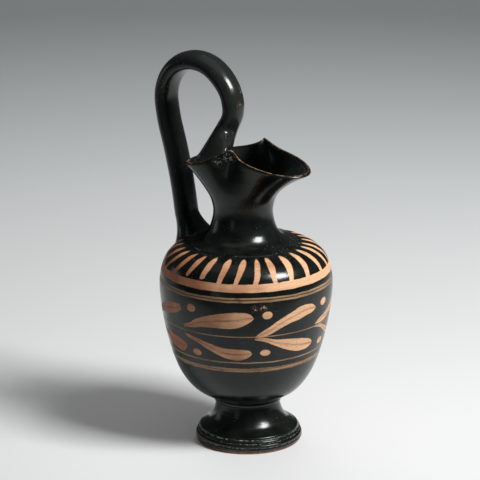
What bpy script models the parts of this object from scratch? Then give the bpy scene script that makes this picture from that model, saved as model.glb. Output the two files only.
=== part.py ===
"""A small ceramic jug: footed round body, narrow neck, three-lobed pouring mouth, high looped handle.

Metres, +Z up. The spout points along +X and the handle stands on the -X side. The origin lies on the
ground, under the middle of the jug's overall box.
"""
import math

import bmesh
import bpy
import numpy as np
from mathutils import Vector

MM = 0.001

# Foot and the stem above it
FOOT_R = 23.3 * MM
FOOT_H = 17.6 * MM
STEM_R = 13.9 * MM
REST_W = 5.0 * MM
RECESS_H = 5.0 * MM
COLLAR_R = 14.9 * MM
COLLAR_H = 2.7 * MM

# Body and shoulder
BODY_R = 37.55 * MM
BODY_H = 68.8 * MM
BODY_WALL = 3.2 * MM

# Neck, from the shoulder to the narrowest place
NECK_BASE_R = 23.3 * MM
NECK_R = 12.9 * MM
NECK_H = 14.4 * MM
NECK_WALL = 2.8 * MM
SEAM_GROOVE = 0.35 * MM

# Mouth: reach of the rim from the neck's axis, and its height over the narrowest place.
# The pace is the length that one radian stands for when the rim's curve is smoothed.
MOUTH_R = 22.8 * MM
MOUTH_H = 21.5 * MM
LIP_WALL = 2.0 * MM
SPOUT_REACH = 35.2 * MM
SPOUT_RISE = 21.2 * MM
PINCH_REACH = 10.9 * MM
PINCH_RISE = 29.2 * MM
BACK_REACH = 24.6 * MM
BACK_RISE = 20.4 * MM
RIM_TILT = 0.025
RIM_PACE = 30.0 * MM

# Handle: a loop that stands above the mouth, a back strand down to the shoulder
HANDLE_THICK = 8.2 * MM
HANDLE_WIDE = 12.5 * MM
LOOP_R = 18.95 * MM
LOOP_BACK = 26.2 * MM
LOOP_RISE = 43.2 * MM
ROOT_REACH = 30.3 * MM
ROOT_LENGTH = 14.4 * MM
ROOT_WIDE = 21.0 * MM
ROOT_RISE = 9.0 * MM
ROOT_LEAN = 3.6 * MM
ARM_ANGLE = math.radians(64)
WEB_DROP = 6.0 * MM

# Foot and neck were thrown apart from the body and sit a little off its axis
FOOT_SHIFT = 1.6 * MM
NECK_SHIFT = -1.7 * MM

# How finely the round forms are cut
SEGMENTS = 56
HANDLE_SIDES = 20

COLLAR_Z = FOOT_H
BODY_Z = COLLAR_Z + COLLAR_H
SHOULDER_Z = BODY_Z + BODY_H
THROAT_Z = SHOULDER_Z + NECK_H
RIM_Z = THROAT_Z + MOUTH_H

# Outlines as shares of the sizes above: (outward, upward)
FOOT_SHAPE = [(0.862, 0.0), (0.947, 0.04), (1.0, 0.114), (0.989, 0.182), (0.957, 0.222)]
FOOT_GROOVE = [(0.888, 0.244), (0.888, 0.272), (0.904, 0.3)]
DOME_SHAPE = [(0.862, 0.341), (0.777, 0.4), (0.574, 0.46), (0.351, 0.534), (0.16, 0.68), (0.053, 0.84),
              (0.0, 0.99)]
BODY_SHAPE = [(0.445, 0.004), (0.624, 0.068), (0.772, 0.179), (0.905, 0.388),
              (0.991, 0.65), (0.993, 0.795), (0.924, 0.911), (0.798, 0.974)]
NECK_SHAPE = [(0.471, 0.167), (0.212, 0.375), (0.067, 0.653), (0.0, 1.0)]
MOUTH_SHAPE = [(0.111, 0.256), (0.354, 0.488), (0.641, 0.72), (1.0, 1.0)]

# The rim round one side: degrees from the spout, share of reach and of rise (pinch 0, lobe's end 1)
PINCH_ANGLE = 74
SPOUT_RIM = [(0, 1.0, 1.0), (14, 0.893, 1.01), (28, 0.621, 0.8), (42, 0.37, 0.656), (55, 0.21, 0.544),
             (66, 0.136, 0.42)]
BACK_RIM = [(84, 0.118, 0.163), (92, 0.37, 0.337), (105, 0.504, 0.512), (122, 0.685, 0.802),
            (142, 0.906, 0.93), (162, 0.976, 0.977), (180, 1.0, 1.0)]

# The handle's loop: degrees round it from the mouth side, share of the strand's thickness and width
LOOP_SWELL = [(-8, 0.92), (18, 0.92), (44, 0.97), (70, 1.0), (96, 1.02), (122, 1.02), (148, 1.0), (174, 0.98)]

# The handle's spread ends: rings, and how late their depth and their width come
MOUTH_SPREAD = (7, 1.5, 6.0)
ROOT_SPREAD = (5, 2.0, 2.0)

# How deep the ends are sunk, as shares of the wall, and the rings of their hidden caps
ARM_SINK = 0.33
ROOT_SINK = 0.1
CAP_SINK = 0.5
CAP_SHARES = (0.92, 0.8, 0.65, 0.5, 0.35, 0.2, 0.05)

SHARP_EDGE = math.radians(40)


def smooth_curve(stations, per_span):
    """Rows on a smooth curve through the stations, whatever number of values each one holds."""
    points = np.array(stations, dtype=float)
    points = np.vstack([2 * points[0] - points[1], points, 2 * points[-1] - points[-2]])
    rows = []
    for i in range(1, len(points) - 2):
        a, b, c, d = points[i - 1:i + 3]
        knots = [0.0]
        for p, q in ((a, b), (b, c), (c, d)):
            knots.append(knots[-1] + max(np.linalg.norm(q - p), 1e-9) ** 0.5)
        k0, k1, k2, k3 = knots
        for k in np.linspace(k1, k2, per_span, endpoint=False):
            ab = ((k1 - k) * a + (k - k0) * b) / (k1 - k0)
            bc = ((k2 - k) * b + (k - k1) * c) / (k2 - k1)
            cd = ((k3 - k) * c + (k - k2) * d) / (k3 - k2)
            abc = ((k2 - k) * ab + (k - k0) * bc) / (k2 - k0)
            bcd = ((k3 - k) * bc + (k - k1) * cd) / (k3 - k1)
            rows.append(((k2 - k) * abc + (k - k1) * bcd) / (k2 - k1))
    rows.append(points[-2])
    return np.array(rows)


def ease(x):
    """A soft step from 0 to 1."""
    x = min(max(x, 0.0), 1.0)
    return x * x * (3 - 2 * x)


def foot_line():
    """Outer profile of foot, stem and collar, from the resting ring upward."""
    def station(share):
        return STEM_R + (FOOT_R - STEM_R) * share[0], FOOT_H * share[1]

    band = smooth_curve([station(s) for s in FOOT_SHAPE], 1)
    groove = np.array([station(s) for s in FOOT_GROOVE])
    dome = smooth_curve([station(s) for s in DOME_SHAPE], 1)
    collar = [(STEM_R, COLLAR_Z + 0.02 * COLLAR_H)]
    for turn in (-60, -20, 20, 60):
        out = (COLLAR_R - STEM_R) * math.cos(math.radians(turn))
        collar.append((STEM_R + out, COLLAR_Z + COLLAR_H * (0.5 + 0.5 * math.sin(math.radians(turn)))))
    return np.vstack([band, groove, dome, collar])


def body_line():
    """Outer profile of the body and shoulder, up to the neck's seam."""
    stations = [(BODY_R * out, BODY_Z + BODY_H * up) for out, up in BODY_SHAPE]
    return smooth_curve(stations + [(NECK_BASE_R + 2 * SEAM_GROOVE, SHOULDER_Z)], 2)


def neck_line():
    """Outer profile of the neck and of the mouth while it is still round."""
    stations = [(NECK_BASE_R, SHOULDER_Z + SEAM_GROOVE)]
    stations += [(NECK_R + (NECK_BASE_R - NECK_R) * out, SHOULDER_Z + NECK_H * up) for out, up in NECK_SHAPE]
    flare = MOUTH_H - LIP_WALL / 2
    stations += [(NECK_R + (MOUTH_R - NECK_R) * out, THROAT_Z + flare * up) for out, up in MOUTH_SHAPE]
    return smooth_curve(stations, 2)


def wall_at(height):
    """Wall thickness of the hollow vessel at a height of the round form."""
    if height < SHOULDER_Z:
        return BODY_WALL
    if height < THROAT_Z:
        return BODY_WALL + (NECK_WALL - BODY_WALL) * (height - SHOULDER_Z) / NECK_H
    return NECK_WALL + (LIP_WALL - NECK_WALL) * (height - THROAT_Z) / MOUTH_H


def inner_line(outer):
    """The outer line set in by the wall, from the rim down to the hollow's floor."""
    step = np.gradient(outer, axis=0)
    inward = np.stack([-step[:, 1], step[:, 0]], axis=1) / np.linalg.norm(step, axis=1)[:, None]
    walls = np.array([wall_at(height) for height in outer[:, 1]])
    line = outer + inward * walls[:, None]
    floor = BODY_Z + BODY_WALL
    line = line[line[:, 1] > floor + 0.3 * BODY_WALL]
    return np.vstack([line[::-1], [(0.55 * line[0, 0], floor), (0.0, floor)]])


def lip_line():
    """Rounded edge between the outer and the inner line of the rim, with both ends left out."""
    turns = [math.radians(a) for a in (40, 90, 140)]
    half = LIP_WALL / 2
    return np.array([(MOUTH_R - half + half * math.cos(a), RIM_Z - half + half * math.sin(a)) for a in turns])


def vessel_profile():
    """The whole turned section, from the middle of the underside round to the hollow's floor."""
    rest_in = STEM_R + (FOOT_R - STEM_R) * FOOT_SHAPE[0][0] - REST_W
    under = np.array([(0.0, 1.0), (0.6, 0.85), (0.9, 0.4), (1.0, 0.0)]) * (rest_in, RECESS_H)
    seam = np.array([(NECK_BASE_R + SEAM_GROOVE, SHOULDER_Z - SEAM_GROOVE)])
    inner = inner_line(np.vstack([body_line(), neck_line()]))
    return np.vstack([under, foot_line(), body_line(), seam, neck_line(), lip_line(), inner[1::2], inner[-1:]])


def rim_curves():
    """Reach and height of the rim for every degree from the spout to the back."""
    pinch = (PINCH_ANGLE, PINCH_REACH, THROAT_Z + PINCH_RISE)
    rows = []
    for angle, reach, rise in SPOUT_RIM:
        rows.append((angle, PINCH_REACH + (SPOUT_REACH - PINCH_REACH) * reach,
                     THROAT_Z + PINCH_RISE + (SPOUT_RISE - PINCH_RISE) * rise))
    rows.append(pinch)
    for angle, reach, rise in BACK_RIM:
        rows.append((angle, PINCH_REACH + (BACK_REACH - PINCH_REACH) * reach,
                     THROAT_Z + PINCH_RISE + (BACK_RISE - PINCH_RISE) * rise))
    ahead = [(-a, reach, z) for a, reach, z in rows[1:2]]
    behind = [(360 - a, reach, z) for a, reach, z in rows[-2:-1]]
    rows = [(math.radians(a), reach, z) for a, reach, z in ahead + rows + behind]
    scale = np.array([RIM_PACE, 1.0, 1.0])
    line = smooth_curve(np.array(rows) * scale, 12) / scale
    return line[:, 0], line[:, 1], line[:, 2]


RIM_ANGLES, RIM_REACHES, RIM_HEIGHTS = rim_curves()
NECK_LINE = neck_line()


def rim_at(angle):
    """Reach from the neck's axis and height of the rim at an angle from the spout."""
    turn = abs(math.remainder(angle, math.tau))
    reach = float(np.interp(turn, RIM_ANGLES, RIM_REACHES))
    return reach, float(np.interp(turn, RIM_ANGLES, RIM_HEIGHTS)) + RIM_TILT * reach * math.sin(angle)


def axis_shift(height):
    """Sideways step of the vessel's axis: foot one way, neck the other."""
    foot = FOOT_SHIFT * (1 - ease((height - 0.3 * FOOT_H) / (BODY_Z + 0.1 * BODY_H)))
    neck = NECK_SHIFT * ease((height - SHOULDER_Z + 0.06 * BODY_H) / (0.5 * NECK_H))
    return foot + neck


def station_height(radius, height):
    """Height of the outer face straight across the wall from a point, so that both faces bend alike."""
    line = NECK_LINE
    run = np.diff(line, axis=0)
    along = ((np.array([radius, height]) - line[:-1]) * run).sum(axis=1) / (run ** 2).sum(axis=1)
    foot = line[:-1] + run * np.clip(along, 0.0, 1.0)[:, None]
    nearest = np.argmin(np.hypot(foot[:, 0] - radius, foot[:, 1] - height))
    return foot[nearest, 1]


def vessel_point(point):
    """Moves a point of the round form to its place on the jug with the lobed mouth."""
    radius, angle = math.hypot(point.x, point.y), math.atan2(point.y, point.x)
    height = point.z
    if height > THROAT_Z:
        flare_start, flare_end = THROAT_Z + 0.2 * MOUTH_H, RIM_Z - LIP_WALL / 2
        share = (station_height(radius, height) - flare_start) / (flare_end - flare_start)
        share = min(max(share, 0.0), 1.0)
        reach, rim_height = rim_at(angle)
        radius += (reach - MOUTH_R) * share ** 2
        height += (rim_height - RIM_Z) * share ** 2
    return Vector((radius * math.cos(angle) + axis_shift(point.z), radius * math.sin(angle), height))


def make_vessel():
    """The hollow vessel, turned from its section and bent to its mouth."""
    profile = vessel_profile()
    mesh = bmesh.new()
    verts = [mesh.verts.new((radius, 0.0, height)) for radius, height in profile]
    edges = [mesh.edges.new(pair) for pair in zip(verts, verts[1:])]
    bmesh.ops.spin(mesh, geom=verts + edges, cent=(0, 0, 0), axis=(0, 0, 1), angle=math.tau,
                   steps=SEGMENTS, use_merge=True)
    bmesh.ops.remove_doubles(mesh, verts=mesh.verts[:], dist=0.00001)
    for vert in mesh.verts:
        vert.co = vessel_point(vert.co)
    bmesh.ops.recalc_face_normals(mesh, faces=mesh.faces[:])
    return mesh


def handle_path():
    """Middle line of the handle from the mouth over the loop to the shoulder: x, z, thickness, width."""
    centre_x, centre_z = -LOOP_BACK, THROAT_Z + LOOP_RISE
    stations = [(centre_x + 0.8 * LOOP_R, centre_z - 0.46 * LOOP_R, 0.98)]
    for turn, swell in LOOP_SWELL:
        angle = math.radians(turn)
        radius = LOOP_R * (1.03 if turn < 20 else 1.0)
        stations.append((centre_x + radius * math.cos(angle), centre_z + radius * math.sin(angle), swell))
    start_x, start_z, _ = stations[-1]
    end_x, end_z = -ROOT_REACH - ROOT_LEAN, float(shoulder_height(ROOT_REACH)) + ROOT_RISE
    for share, bow in ((0.2, -0.02), (0.46, 0.0), (0.74, 0.01)):
        run = end_z - start_z
        stations.append((start_x + (end_x - start_x) * share - bow * run, start_z + run * share, 0.98))
    stations.append((end_x, end_z, 0.98))
    return smooth_curve([(x, z, HANDLE_THICK * s, HANDLE_WIDE * s) for x, z, s in stations], 2)


def shoulder_height(radius):
    """Height of the shoulder's outer face at a distance from the body's axis."""
    line = body_line()
    top = line[np.argmax(line[:, 0]):]
    return np.interp(radius, top[::-1, 0], top[::-1, 1])


def section_point(turn, thick, wide):
    """A place on the handle's section: well rounded outside, flatter toward the loop's inside."""
    out, side = math.cos(turn), math.sin(turn)
    if out > 0:
        return -0.08 * thick + 0.58 * thick * out, 0.5 * wide * side
    flat = abs(out) ** 0.7
    return -0.08 * thick - 0.42 * thick * flat, 0.5 * wide * math.copysign(abs(side) ** 0.85, side)


def strand_ring(path, i):
    """Points of the handle's section at one station of its path."""
    x, z, thick, wide = path[i]
    along = path[min(i + 1, len(path) - 1), :2] - path[max(i - 1, 0), :2]
    tangent = Vector((along[0], 0, along[1])).normalized()
    outward = Vector((tangent.z, 0, -tangent.x))
    ring = []
    for k in range(HANDLE_SIDES):
        out, side = section_point(math.tau * k / HANDLE_SIDES, thick, wide)
        ring.append(Vector((x, 0, z)) + outward * out + Vector((0, side, 0)))
    return ring


def root_ring(depth, share):
    """Foot of the back strand on the shoulder, sunk by a depth; smaller shares make its hidden cap."""
    ring = []
    for k in range(HANDLE_SIDES):
        out, side = section_point(math.tau * k / HANDLE_SIDES, ROOT_LENGTH * share, ROOT_WIDE * share)
        x, y = -ROOT_REACH - out, side
        ring.append(Vector((x, y, float(shoulder_height(math.hypot(x, y))) - depth)))
    return ring


def arm_ring(sink, share):
    """Mouth end of the handle: arms along the back lobe's rim, the front run down inside the lobe.

    The ring is sunk into the wall; smaller shares make the hidden cap that follows the wall.
    """
    inner = inner_line(neck_line())[::-1]
    middle = RIM_Z - LIP_WALL / 2 - 0.45 * WEB_DROP
    ring = []
    for k in range(HANDLE_SIDES):
        turn = math.tau * k / HANDLE_SIDES
        angle = math.pi - ARM_ANGLE * math.sin(turn) * share
        front = math.cos(turn)
        height = RIM_Z - LIP_WALL / 2 - WEB_DROP * max(front, 0.0)
        height = middle + (height - middle) * share
        radius = float(np.interp(height, inner[:, 1], inner[:, 0])) + sink
        radius += (LIP_WALL - 2 * sink) * max(-front, 0.0)
        ring.append(vessel_point(Vector((radius * math.cos(angle), radius * math.sin(angle), height))))
    return ring


def spread(near, far, centres, steps, depth_late, width_late):
    """Rings from a strand's end to its foot: the middle keeps the strand's lean, the width comes late."""
    (near_x, far_x), rings = centres, []
    for i in range(1, steps + 1):
        fall = i / steps
        lean, depth, width = 1 - (1 - fall) ** 1.35, fall ** depth_late, fall ** width_late
        ring = []
        for a, b in zip(near, far):
            x = near_x + (far_x - near_x) * lean + (a.x - near_x) * (1 - depth) + (b.x - far_x) * depth
            ring.append(Vector((x, a.y + (b.y - a.y) * width, a.z + (b.z - a.z) * fall)))
        rings.append(ring)
    return rings


def handle_rings():
    """Every ring of the handle, from inside the rim's wall over the loop to inside the shoulder's wall."""
    path = handle_path()
    strand = [strand_ring(path, i) for i in range(len(path))]
    mouth_x = path[0][0], NECK_SHIFT - 0.62 * BACK_REACH
    root_x = path[-1][0], -ROOT_REACH
    mouth_end = spread(strand[0], arm_ring(ARM_SINK * LIP_WALL, 1.0), mouth_x, *MOUTH_SPREAD)
    root_end = spread(strand[-1], root_ring(ROOT_SINK * BODY_WALL, 1.0), root_x, *ROOT_SPREAD)
    mouth_cap = [arm_ring(CAP_SINK * LIP_WALL, share) for share in CAP_SHARES]
    root_cap = [root_ring(CAP_SINK * BODY_WALL, share) for share in CAP_SHARES]
    return mouth_cap[::-1] + mouth_end[::-1] + strand + root_end + root_cap


def make_handle():
    """The handle as one swept body, with both of its ends sunk into the vessel's wall."""
    rings = handle_rings()
    mesh = bmesh.new()
    verts = bmesh.ops.create_circle(mesh, segments=HANDLE_SIDES, radius=HANDLE_THICK)["verts"]
    edges = mesh.edges[:]
    bmesh.ops.contextual_create(mesh, geom=edges)
    for i, ring in enumerate(rings):
        if i > 0:
            grown = bmesh.ops.extrude_edge_only(mesh, edges=edges)["geom"]
            verts = [item for item in grown if isinstance(item, bmesh.types.BMVert)]
            edges = [item for item in grown if isinstance(item, bmesh.types.BMEdge) and item.is_boundary]
        for vert, place in zip(verts, ring):
            vert.co = place
    bmesh.ops.contextual_create(mesh, geom=edges)
    bmesh.ops.recalc_face_normals(mesh, faces=mesh.faces[:])
    return mesh


def new_object(name, mesh):
    """Puts a finished bmesh in the scene as a named object."""
    data = bpy.data.meshes.new(name)
    mesh.to_mesh(data)
    mesh.free()
    item = bpy.data.objects.new(name, data)
    bpy.context.collection.objects.link(item)
    return item


def gloss_material():
    """Black gloss over fired clay."""
    material = bpy.data.materials.new("black gloss")
    material.use_nodes = True
    shader = material.node_tree.nodes["Principled BSDF"]
    shader.inputs["Base Color"].default_value = (0.012, 0.014, 0.013, 1.0)
    shader.inputs["Roughness"].default_value = 0.22
    shader.inputs["Metallic"].default_value = 0.0
    return material


def main():
    for item in list(bpy.data.objects):
        bpy.data.objects.remove(item, do_unlink=True)
    vessel, grip = make_vessel(), make_handle()
    across = [vert.co.x for mesh in (vessel, grip) for vert in mesh.verts]
    middle = (min(across) + max(across)) / 2
    for mesh in (vessel, grip):
        bmesh.ops.translate(mesh, verts=mesh.verts[:], vec=(-middle, 0, 0))
    jug = new_object("jug", vessel)
    handle = new_object("handle_stock", grip)
    handle.hide_render = True
    handle.display_type = "WIRE"
    union = jug.modifiers.new("join handle", "BOOLEAN")
    union.operation = "UNION"
    union.solver = "EXACT"
    union.object = handle
    jug.data.materials.append(gloss_material())
    jug.data.shade_smooth()
    jug.data.set_sharp_from_angle(angle=SHARP_EDGE)


main()
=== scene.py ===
# %% [markdown]
# # A small black-gloss wine jug
#
# The real jug was thrown on a wheel in three pieces: the foot, the round body, and the neck with its
# mouth. The pieces were joined with wet clay, the mouth was pinched into three lobes with the
# fingers, and a pulled handle was pressed on. A black slip covers the orange clay, and bands,
# tongues and a leaf wreath show in the orange of the clay.
#
# We follow the same order here: turn the body, bend the mouth, sweep the handle, join them, and
# then build the finish as one material.

import math

import bmesh
import bpy
import numpy as np
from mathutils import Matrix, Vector, kdtree


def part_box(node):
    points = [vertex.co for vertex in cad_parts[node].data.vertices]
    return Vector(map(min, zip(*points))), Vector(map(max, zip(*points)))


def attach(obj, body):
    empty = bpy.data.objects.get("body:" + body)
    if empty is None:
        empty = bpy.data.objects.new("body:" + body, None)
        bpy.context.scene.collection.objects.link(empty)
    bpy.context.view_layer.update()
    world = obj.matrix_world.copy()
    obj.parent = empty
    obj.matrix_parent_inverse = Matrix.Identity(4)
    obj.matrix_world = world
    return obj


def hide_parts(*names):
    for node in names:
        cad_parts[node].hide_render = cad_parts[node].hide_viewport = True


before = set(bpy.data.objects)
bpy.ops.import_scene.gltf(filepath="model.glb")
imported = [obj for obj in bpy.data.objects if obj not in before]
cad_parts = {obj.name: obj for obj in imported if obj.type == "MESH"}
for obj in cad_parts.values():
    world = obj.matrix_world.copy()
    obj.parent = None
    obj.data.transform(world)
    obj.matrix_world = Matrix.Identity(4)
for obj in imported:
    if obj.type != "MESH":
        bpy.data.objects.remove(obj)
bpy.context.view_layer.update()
low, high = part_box("jug")
print("the jug is", [round((b - a) * 1000, 1) for a, b in zip(low, high)], "mm")

# %% [markdown]
# ## Sizes
#
# Every size is written once, in metres. The body's axis is the upright line that all round parts
# share. The body's widest place touches the spout side of the jug's box, which is how we find it.

# %% Sizes of foot, body and neck
MM = 0.001

FOOT_R = 23.3 * MM
FOOT_H = 17.6 * MM
STEM_R = 13.9 * MM
REST_W = 5.0 * MM
RECESS_H = 5.0 * MM
COLLAR_R = 14.9 * MM
COLLAR_H = 2.7 * MM

BODY_R = 37.55 * MM
BODY_H = 68.8 * MM
BODY_WALL = 3.2 * MM

NECK_BASE_R = 23.3 * MM
NECK_R = 12.9 * MM
NECK_H = 14.4 * MM
NECK_WALL = 2.8 * MM
SEAM_GROOVE = 0.35 * MM

FOOT_SHIFT = 1.6 * MM
NECK_SHIFT = -1.7 * MM

COLLAR_Z = FOOT_H
BODY_Z = COLLAR_Z + COLLAR_H
SHOULDER_Z = BODY_Z + BODY_H
THROAT_Z = SHOULDER_Z + NECK_H

# %% Sizes of mouth and handle
MOUTH_R = 22.8 * MM
MOUTH_H = 21.5 * MM
LIP_WALL = 2.0 * MM
SPOUT_REACH = 35.2 * MM
SPOUT_RISE = 21.2 * MM
PINCH_REACH = 10.9 * MM
PINCH_RISE = 31.4 * MM
BACK_REACH = 24.6 * MM
BACK_RISE = 20.4 * MM
RIM_TILT = 0.025
RIM_PACE = 30.0 * MM
FOLD_ROUND = 10.0
RIM_Z = THROAT_Z + MOUTH_H

HANDLE_THICK = 8.2 * MM
HANDLE_WIDE = 12.5 * MM
LOOP_R = 18.95 * MM
LOOP_BACK = 26.2 * MM
LOOP_RISE = 43.2 * MM
ROOT_REACH = 30.3 * MM
ROOT_LENGTH = 14.4 * MM
ROOT_WIDE = 21.0 * MM
ROOT_RISE = 9.0 * MM
ROOT_LEAN = 3.6 * MM
FAR_ARM = math.radians(34)
NEAR_ARM = math.radians(96)
ARM_TURN = math.radians(50)
WEB_DROP = 10.0 * MM
WEB_START = 5
WEB_LEAVE = 17.0 * MM
WEB_LAND = 24.0 * MM
WEB_CALM = 1.3
BACK_FLARE = 0.6
NEAR_FLARE = 0.2
ARM_SINK = 0.33
ROOT_SINK = 0.1
CAP_SINK = 0.5

SEGMENTS = 224
HANDLE_SIDES = 48
WEB_RINGS = 30
ROOT_RINGS = 15
WEB_PASSES = 14
JOINT_PASSES = 5

# %% [markdown]
# ## Outlines
#
# An outline is a short list of stations, each one a share of the sizes above: how far outward and
# how far upward. A smooth curve runs through them, so a few well chosen stations give a line as
# calm as the potter's.

# %% Stations of the outlines
FOOT_SHAPE = [(0.862, 0.0), (0.947, 0.04), (1.0, 0.114), (0.989, 0.182), (0.957, 0.222)]
FOOT_GROOVE = [(0.93, 0.236), (0.888, 0.244), (0.884, 0.258), (0.888, 0.272), (0.904, 0.3)]
DOME_SHAPE = [(0.862, 0.341), (0.777, 0.4), (0.574, 0.46), (0.351, 0.534), (0.16, 0.68), (0.053, 0.84),
              (0.0, 0.99)]
BODY_SHAPE = [(0.445, 0.004), (0.624, 0.068), (0.772, 0.179), (0.905, 0.388),
              (0.991, 0.65), (0.993, 0.795), (0.924, 0.911), (0.798, 0.974)]
NECK_SHAPE = [(0.471, 0.167), (0.212, 0.375), (0.067, 0.653), (0.0, 1.0)]
MOUTH_SHAPE = [(0.111, 0.256), (0.354, 0.488), (0.641, 0.72), (1.0, 1.0)]

PINCH_ANGLE = 74
SPOUT_RIM = [(0, 1.0, 1.0), (14, 0.893, 1.01), (28, 0.621, 0.8), (42, 0.37, 0.656), (55, 0.21, 0.544),
             (66, 0.136, 0.42)]
BACK_RIM = [(84, 0.118, 0.163), (92, 0.37, 0.337), (105, 0.54, 0.512), (122, 0.77, 0.802),
            (142, 1.04, 0.93), (162, 1.04, 0.977), (180, 1.0, 1.0)]

LOOP_SWELL = [(-8, 0.92), (18, 0.92), (44, 0.97), (70, 1.0), (96, 1.02), (122, 1.02), (148, 1.0), (174, 0.98)]
CAP_SHARES = (0.96, 0.92, 0.86, 0.8, 0.72, 0.65, 0.57, 0.5, 0.42, 0.35, 0.27, 0.2, 0.12, 0.05)


# %% Smooth line through stations
def smooth_curve(stations, per_span):
    """Rows on a smooth curve through the stations, whatever number of values each one holds."""
    points = np.array(stations, dtype=float)
    points = np.vstack([2 * points[0] - points[1], points, 2 * points[-1] - points[-2]])
    rows = []
    for i in range(1, len(points) - 2):
        a, b, c, d = points[i - 1:i + 3]
        knots = [0.0]
        for p, q in ((a, b), (b, c), (c, d)):
            knots.append(knots[-1] + max(np.linalg.norm(q - p), 1e-9) ** 0.5)
        k0, k1, k2, k3 = knots
        for k in np.linspace(k1, k2, per_span, endpoint=False):
            ab = ((k1 - k) * a + (k - k0) * b) / (k1 - k0)
            bc = ((k2 - k) * b + (k - k1) * c) / (k2 - k1)
            cd = ((k3 - k) * c + (k - k2) * d) / (k3 - k2)
            abc = ((k2 - k) * ab + (k - k0) * bc) / (k2 - k0)
            bcd = ((k3 - k) * bc + (k - k1) * cd) / (k3 - k1)
            rows.append(((k2 - k) * abc + (k - k1) * bcd) / (k2 - k1))
    rows.append(points[-2])
    return np.array(rows)


def ease(x):
    """A soft step from 0 to 1."""
    x = min(max(x, 0.0), 1.0)
    return x * x * (3 - 2 * x)


# %% [markdown]
# ## The turned section
#
# A thrown pot has one section all round. The line starts in the middle of the underside, goes out
# to the resting ring, up the outside to the lip, over it, and down the inside to the floor. The
# wall is real: 3 mm in the body and 2 mm at the lip.

# %% Outer lines
def foot_line():
    def station(share):
        return STEM_R + (FOOT_R - STEM_R) * share[0], FOOT_H * share[1]

    band = smooth_curve([station(s) for s in FOOT_SHAPE], 5)
    groove = np.array([station(s) for s in FOOT_GROOVE])
    dome = smooth_curve([station(s) for s in DOME_SHAPE], 6)
    collar = [(STEM_R, COLLAR_Z + 0.02 * COLLAR_H)]
    for turn in np.linspace(-70, 70, 11):
        out = (COLLAR_R - STEM_R) * math.cos(math.radians(turn))
        collar.append((STEM_R + out, COLLAR_Z + COLLAR_H * (0.5 + 0.5 * math.sin(math.radians(turn)))))
    return np.vstack([band, groove, dome, collar])


def body_line():
    stations = [(BODY_R * out, BODY_Z + BODY_H * up) for out, up in BODY_SHAPE]
    return smooth_curve(stations + [(NECK_BASE_R + 2 * SEAM_GROOVE, SHOULDER_Z)], 9)


def neck_line():
    stations = [(NECK_BASE_R, SHOULDER_Z + SEAM_GROOVE)]
    stations += [(NECK_R + (NECK_BASE_R - NECK_R) * out, SHOULDER_Z + NECK_H * up) for out, up in NECK_SHAPE]
    flare = MOUTH_H - LIP_WALL / 2
    stations += [(NECK_R + (MOUTH_R - NECK_R) * out, THROAT_Z + flare * up) for out, up in MOUTH_SHAPE]
    return smooth_curve(stations, 8)


# %% Wall, lip and the whole section
def wall_at(height):
    if height < SHOULDER_Z:
        return BODY_WALL
    if height < THROAT_Z:
        return BODY_WALL + (NECK_WALL - BODY_WALL) * (height - SHOULDER_Z) / NECK_H
    return NECK_WALL + (LIP_WALL - NECK_WALL) * (height - THROAT_Z) / MOUTH_H


def inner_line(outer):
    """The outer line set in by the wall, from the rim down to the hollow's floor."""
    step = np.gradient(outer, axis=0)
    inward = np.stack([-step[:, 1], step[:, 0]], axis=1) / np.linalg.norm(step, axis=1)[:, None]
    walls = np.array([wall_at(height) for height in outer[:, 1]])
    line = outer + inward * walls[:, None]
    floor = BODY_Z + BODY_WALL
    line = line[line[:, 1] > floor + 0.3 * BODY_WALL]
    return np.vstack([line[::-1], [(0.55 * line[0, 0], floor), (0.0, floor)]])


def lip_line():
    turns = [math.radians(a) for a in np.linspace(18, 162, 9)]
    half = LIP_WALL / 2
    return np.array([(MOUTH_R - half + half * math.cos(a), RIM_Z - half + half * math.sin(a)) for a in turns])


rest_in = STEM_R + (FOOT_R - STEM_R) * FOOT_SHAPE[0][0] - REST_W
under = np.array([(0.0, 1.0), (0.6, 0.85), (0.9, 0.4), (1.0, 0.0)]) * (rest_in, RECESS_H)
seam = np.array([(NECK_BASE_R + SEAM_GROOVE, SHOULDER_Z - SEAM_GROOVE)])
inside = inner_line(np.vstack([body_line(), neck_line()]))
outside = [under[:1], smooth_curve(under, 4)[1:], foot_line(), body_line(), seam, neck_line()]
profile = np.vstack(outside + [lip_line(), inside[1::2], inside[-1:]])
lip_row = sum(len(part) for part in outside) + 4
print(len(profile), "rows in the section, lip at row", lip_row)


# %% [markdown]
# ## The pinched mouth
#
# The potter presses the round mouth in at both sides. Two tall folds stand up there, and three
# lobes are left: a long one to pour from and two short ones that meet under the handle. The rim is
# described by its reach from the neck's axis and its height for every angle from the spout. The
# bend fades out toward the throat, so the neck stays round.

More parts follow.
